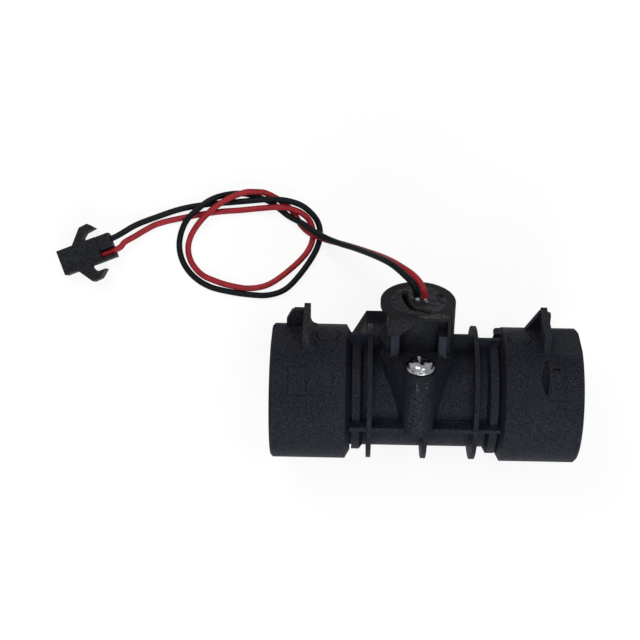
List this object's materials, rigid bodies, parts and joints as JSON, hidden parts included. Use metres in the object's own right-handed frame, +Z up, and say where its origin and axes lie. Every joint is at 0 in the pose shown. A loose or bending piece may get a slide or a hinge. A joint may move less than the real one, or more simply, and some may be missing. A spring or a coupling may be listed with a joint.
{
  "type": "water flow sensor",
  "caption": "In-line water flow sensor: a black moulded body with a socket at each end, a sensor holder held by a screw, and two wires to a small latching plug.",
  "frame": {"origin": "centre of the left socket's mouth, on the axis of the tube", "axes": "+X along the tube to the right socket, +Y to the side where the turret leans and the wires lie, +Z up; the part lies on a table on its two sockets and its foot, with the turret leaned back by 58 degrees"},
  "size_m": [0.1407, 0.0722, 0.0442],
  "materials": {
    "body_plastic": "glass-filled moulding with a fine grain",
    "holder_plastic": "glass-filled moulding with a fine grain, worn at the edges",
    "potting_resin": "lumpy cast resin with a wrinkled top",
    "seal_rubber": "smooth black rubber",
    "screw_steel": "bright nickel plate",
    "pin_steel": "ground stainless steel",
    "spring_steel": "drawn stainless wire",
    "reed_metal": "tinned alloy lead",
    "reed_glass": "clear greenish glass",
    "paddle_plastic": "smooth low-friction plastic",
    "magnet_metal": "coated sintered magnet",
    "sleeve_black": "shrunk sleeve",
    "sleeve_red": "shrunk sleeve",
    "wire_black": "soft smooth insulation",
    "wire_red": "soft smooth insulation",
    "plug_plastic": "fine grained moulding",
    "contact_metal": "tinned brass strip"
  },
  "bodies": {
    "sensor": {"body": "body_plastic", "sensor_holder": "holder_plastic", "potting": "potting_resin", "holder_o_ring": "seal_rubber", "screw": "screw_steel", "reed_glass": "reed_glass", "reed_blade_left": "reed_metal", "reed_blade_right": "reed_metal", "sleeve_black": "sleeve_black", "sleeve_red": "sleeve_red", "hinge_pin": "pin_steel", "return_spring": "spring_steel", "left_seal": "seal_rubber", "right_seal": "seal_rubber", "wire_black": "wire_black", "wire_red": "wire_red", "plug_housing": "plug_plastic", "contact_black": "contact_metal", "contact_red": "contact_metal"},
    "paddle_arm": {"paddle": "paddle_plastic", "magnet": "magnet_metal"}
  },
  "joints": [
    {"name": "paddle_swing", "type": "hinge", "parent": "sensor", "child": "paddle_arm", "pos_m": [0.0375, 0.00678, 0.00424], "axis": [0, -0.5299, 0.848], "range_deg": [0, 55], "stiffness_Nm_per_rad": 0.0004, "springref_deg": -11.46, "deforming": ["return_spring"]}
  ]
}
